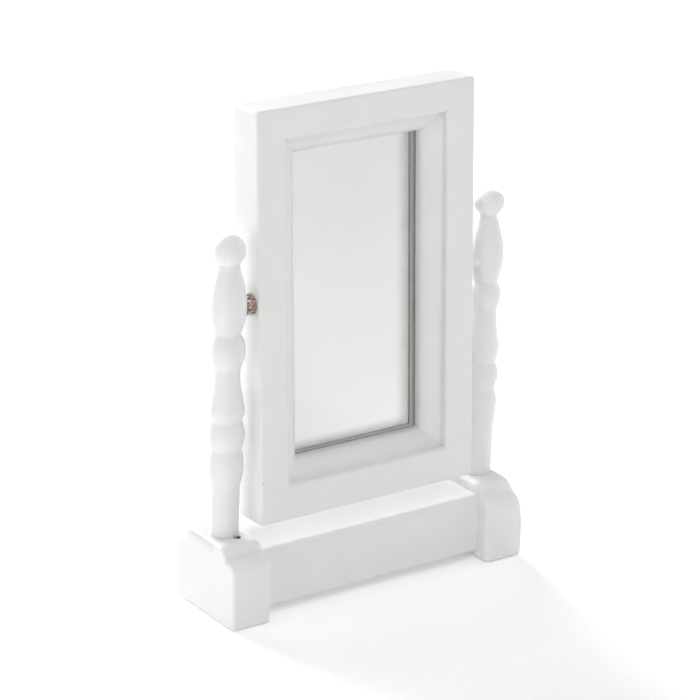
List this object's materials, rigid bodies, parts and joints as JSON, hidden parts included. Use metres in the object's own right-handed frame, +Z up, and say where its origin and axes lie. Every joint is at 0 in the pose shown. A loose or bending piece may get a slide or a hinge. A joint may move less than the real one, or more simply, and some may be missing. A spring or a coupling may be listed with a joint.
{
  "type": "dolls house swing mirror",
  "caption": "Miniature dressing-table swing mirror: a white-painted wooden frame with a glass mirror, turning on wooden pegs between two turned posts on a footed stand.",
  "frame": {"origin": "on the surface the feet stand on, midway between the two feet and midway front to back", "axes": "+Z up, the mirror faces -Y, +X towards the right foot as seen from the front"},
  "size_m": [0.046, 0.014, 0.0659],
  "materials": {
    "white_paint": "satin white paint on turned and shaped wood",
    "frame_paint": "satin white paint on wooden rails",
    "bare_wood": "bare wood dowel with flecks of white paint",
    "mirror": "silvered clear glass",
    "thin_board": "bare thin board"
  },
  "bodies": {
    "stand": {"left_foot": "white_paint", "right_foot": "white_paint", "crossbar": "white_paint", "left_post": "white_paint", "right_post": "white_paint", "left_peg": "bare_wood", "right_peg": "white_paint"},
    "mirror_frame": {"left_stile": "frame_paint", "right_stile": "frame_paint", "top_rail": "frame_paint", "bottom_rail": "frame_paint", "left_bead": "frame_paint", "right_bead": "frame_paint", "top_bead": "frame_paint", "bottom_bead": "frame_paint", "mirror_glass": "mirror", "backing_board": "thin_board"}
  },
  "joints": [
    {"name": "mirror_tilt", "type": "hinge", "parent": "stand", "child": "mirror_frame", "pos_m": [0, 0, 0.041], "axis": [1, 0, 0], "continuous": true}
  ]
}
